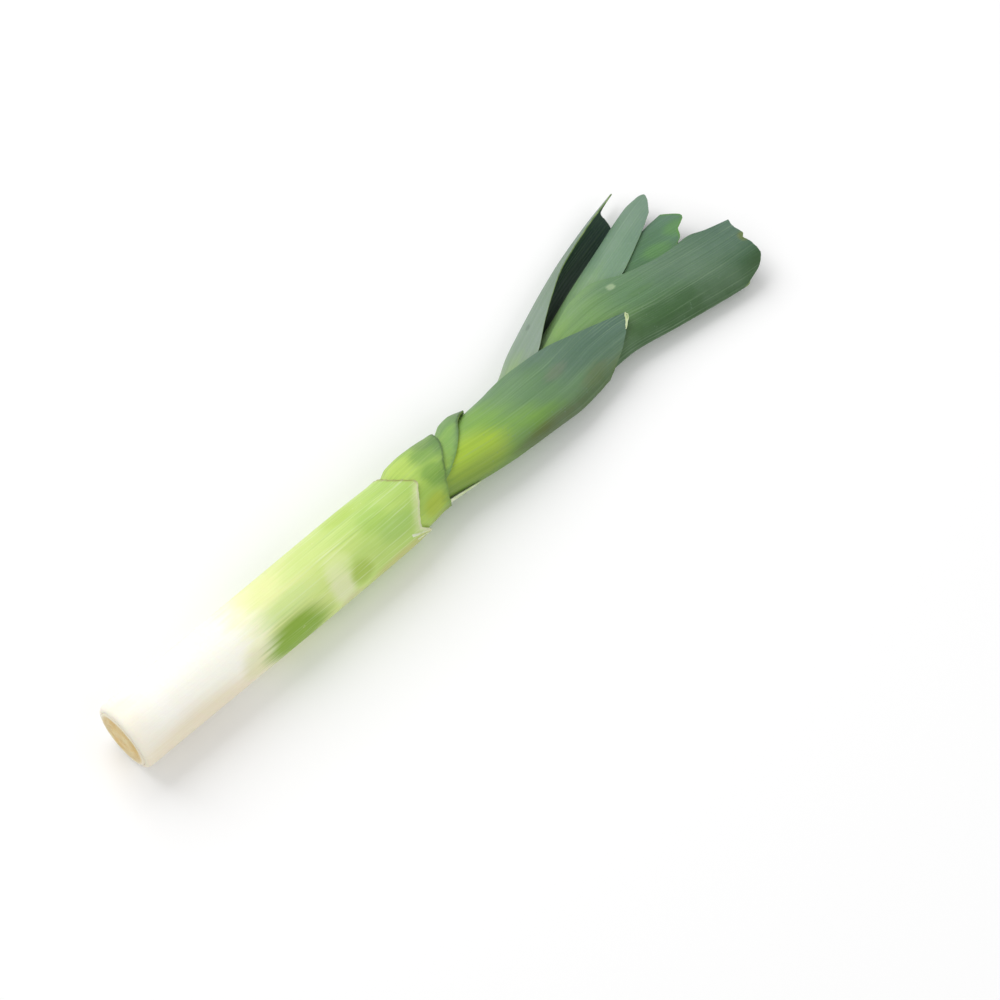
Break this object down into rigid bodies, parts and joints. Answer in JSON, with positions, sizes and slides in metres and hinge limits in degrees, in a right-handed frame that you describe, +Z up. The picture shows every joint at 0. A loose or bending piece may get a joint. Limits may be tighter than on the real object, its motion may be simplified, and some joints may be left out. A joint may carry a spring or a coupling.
{
  "type": "leek",
  "caption": "Leek lying on its side: a round white shaft with a cut root plate turns green through trimmed sheaths and opens into a flat fan of cut, folded leaves.",
  "frame": {"origin": "under the middle of the whole leek, on the surface it lies on", "axes": "+X along the shaft from the root plate to the leaf tips, +Y to the side that the fan of leaves leans to, +Z up"},
  "size_m": [0.4142, 0.0862, 0.0372],
  "materials": {
    "root_plate": "dry cut root tissue, matte",
    "shaft": "smooth moist leaf sheath, white turning light green",
    "sheath": "smooth leaf sheath, yellow-green with fine veins",
    "leaf_bright": "waxy leaf, green with fine veins",
    "leaf_grey": "waxy leaf, grey-green bloom",
    "leaf_blue": "waxy leaf, blue-green bloom",
    "leaf_dark": "waxy leaf, dark green"
  },
  "bodies": {
    "root": {"root_plate": "root_plate", "shaft": "shaft", "sheath_second": "sheath", "sheath_third": "sheath", "leaf_front": "leaf_bright", "leaf_left": "leaf_grey", "leaf_long": "leaf_blue", "leaf_round": "leaf_grey", "leaf_dark": "leaf_dark", "leaf_inner": "leaf_bright"}
  },
  "joints": []
}
